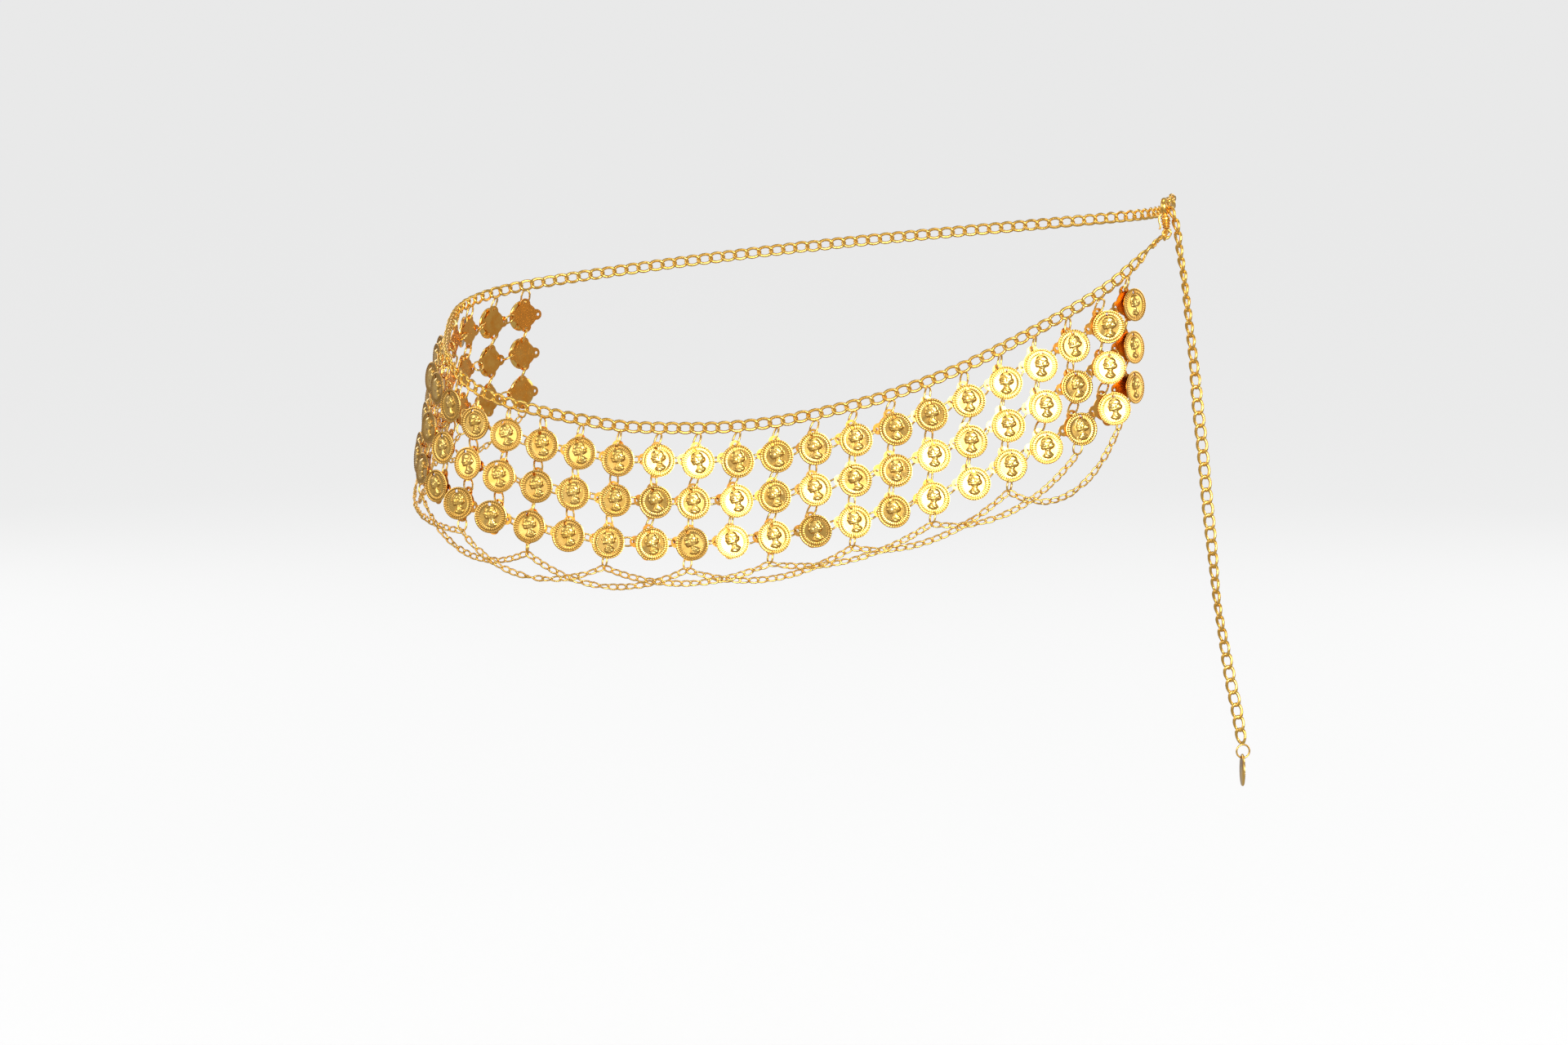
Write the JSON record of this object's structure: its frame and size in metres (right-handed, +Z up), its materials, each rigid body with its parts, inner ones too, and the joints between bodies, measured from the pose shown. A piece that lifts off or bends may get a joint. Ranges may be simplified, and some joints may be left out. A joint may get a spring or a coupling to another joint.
{
  "type": "belly dance coin belt",
  "caption": "Gold-coloured chain hip belt worn at a slant: a net of small coins on lobed back plates, fine chain swags under it, a lobster clasp at the side and a hanging tail with a coin.",
  "frame": {"origin": "middle of the wearer's hips, half way between the belt's sides and between its front and back, near the mean height of its chain", "axes": "+X to the wearer's left, +Y to the wearer's back, +Z up"},
  "size_m": [0.3884, 0.2111, 0.2745],
  "materials": {
    "chain_gold": "bright yellow gold plating on wire links",
    "coin_gold": "bright yellow gold plating on stamped coins and plates",
    "fine_gold": "bright yellow gold plating on fine wire links",
    "clasp_gold": "gold plating on a cast clasp, polished"
  },
  "bodies": {
    "belt": {"chain_leader": "chain_gold", "chain_net": "chain_gold", "chain_back": "chain_gold", "chain_tail": "chain_gold", "coin_column_00": "coin_gold", "coin_column_01": "coin_gold", "coin_column_02": "coin_gold", "coin_column_03": "coin_gold", "coin_column_04": "coin_gold", "coin_column_05": "coin_gold", "coin_column_06": "coin_gold", "coin_column_07": "coin_gold", "coin_column_08": "coin_gold", "coin_column_09": "coin_gold", "coin_column_10": "coin_gold", "coin_column_11": "coin_gold", "coin_column_12": "coin_gold", "coin_column_13": "coin_gold", "coin_column_14": "coin_gold", "coin_column_15": "coin_gold", "coin_column_16": "coin_gold", "coin_column_17": "coin_gold", "coin_column_18": "coin_gold", "coin_column_19": "coin_gold", "coin_column_20": "coin_gold", "coin_column_21": "coin_gold", "coin_column_22": "coin_gold", "coin_column_23": "coin_gold", "coin_column_24": "coin_gold", "coin_column_25": "coin_gold", "coin_column_26": "coin_gold", "coin_column_27": "coin_gold", "coin_column_28": "coin_gold", "swag_00": "fine_gold", "swag_01": "fine_gold", "swag_02": "fine_gold", "swag_03": "fine_gold", "swag_04": "fine_gold", "swag_05": "fine_gold", "swag_06": "fine_gold", "swag_07": "fine_gold", "swag_08": "fine_gold", "swag_09": "fine_gold", "swag_10": "fine_gold", "swag_11": "fine_gold", "swag_12": "fine_gold", "clasp_body": "clasp_gold", "clasp_lever": "clasp_gold", "end_ring": "chain_gold"},
    "end_coin": {"end_coin": "coin_gold"}
  },
  "joints": [
    {"name": "end_coin_swing", "type": "hinge", "parent": "belt", "child": "end_coin", "pos_m": [0.201, -0.05, -0.1843], "axis": [0.9781, 0.2079, 0], "range_deg": [-80, 80]}
  ]
}
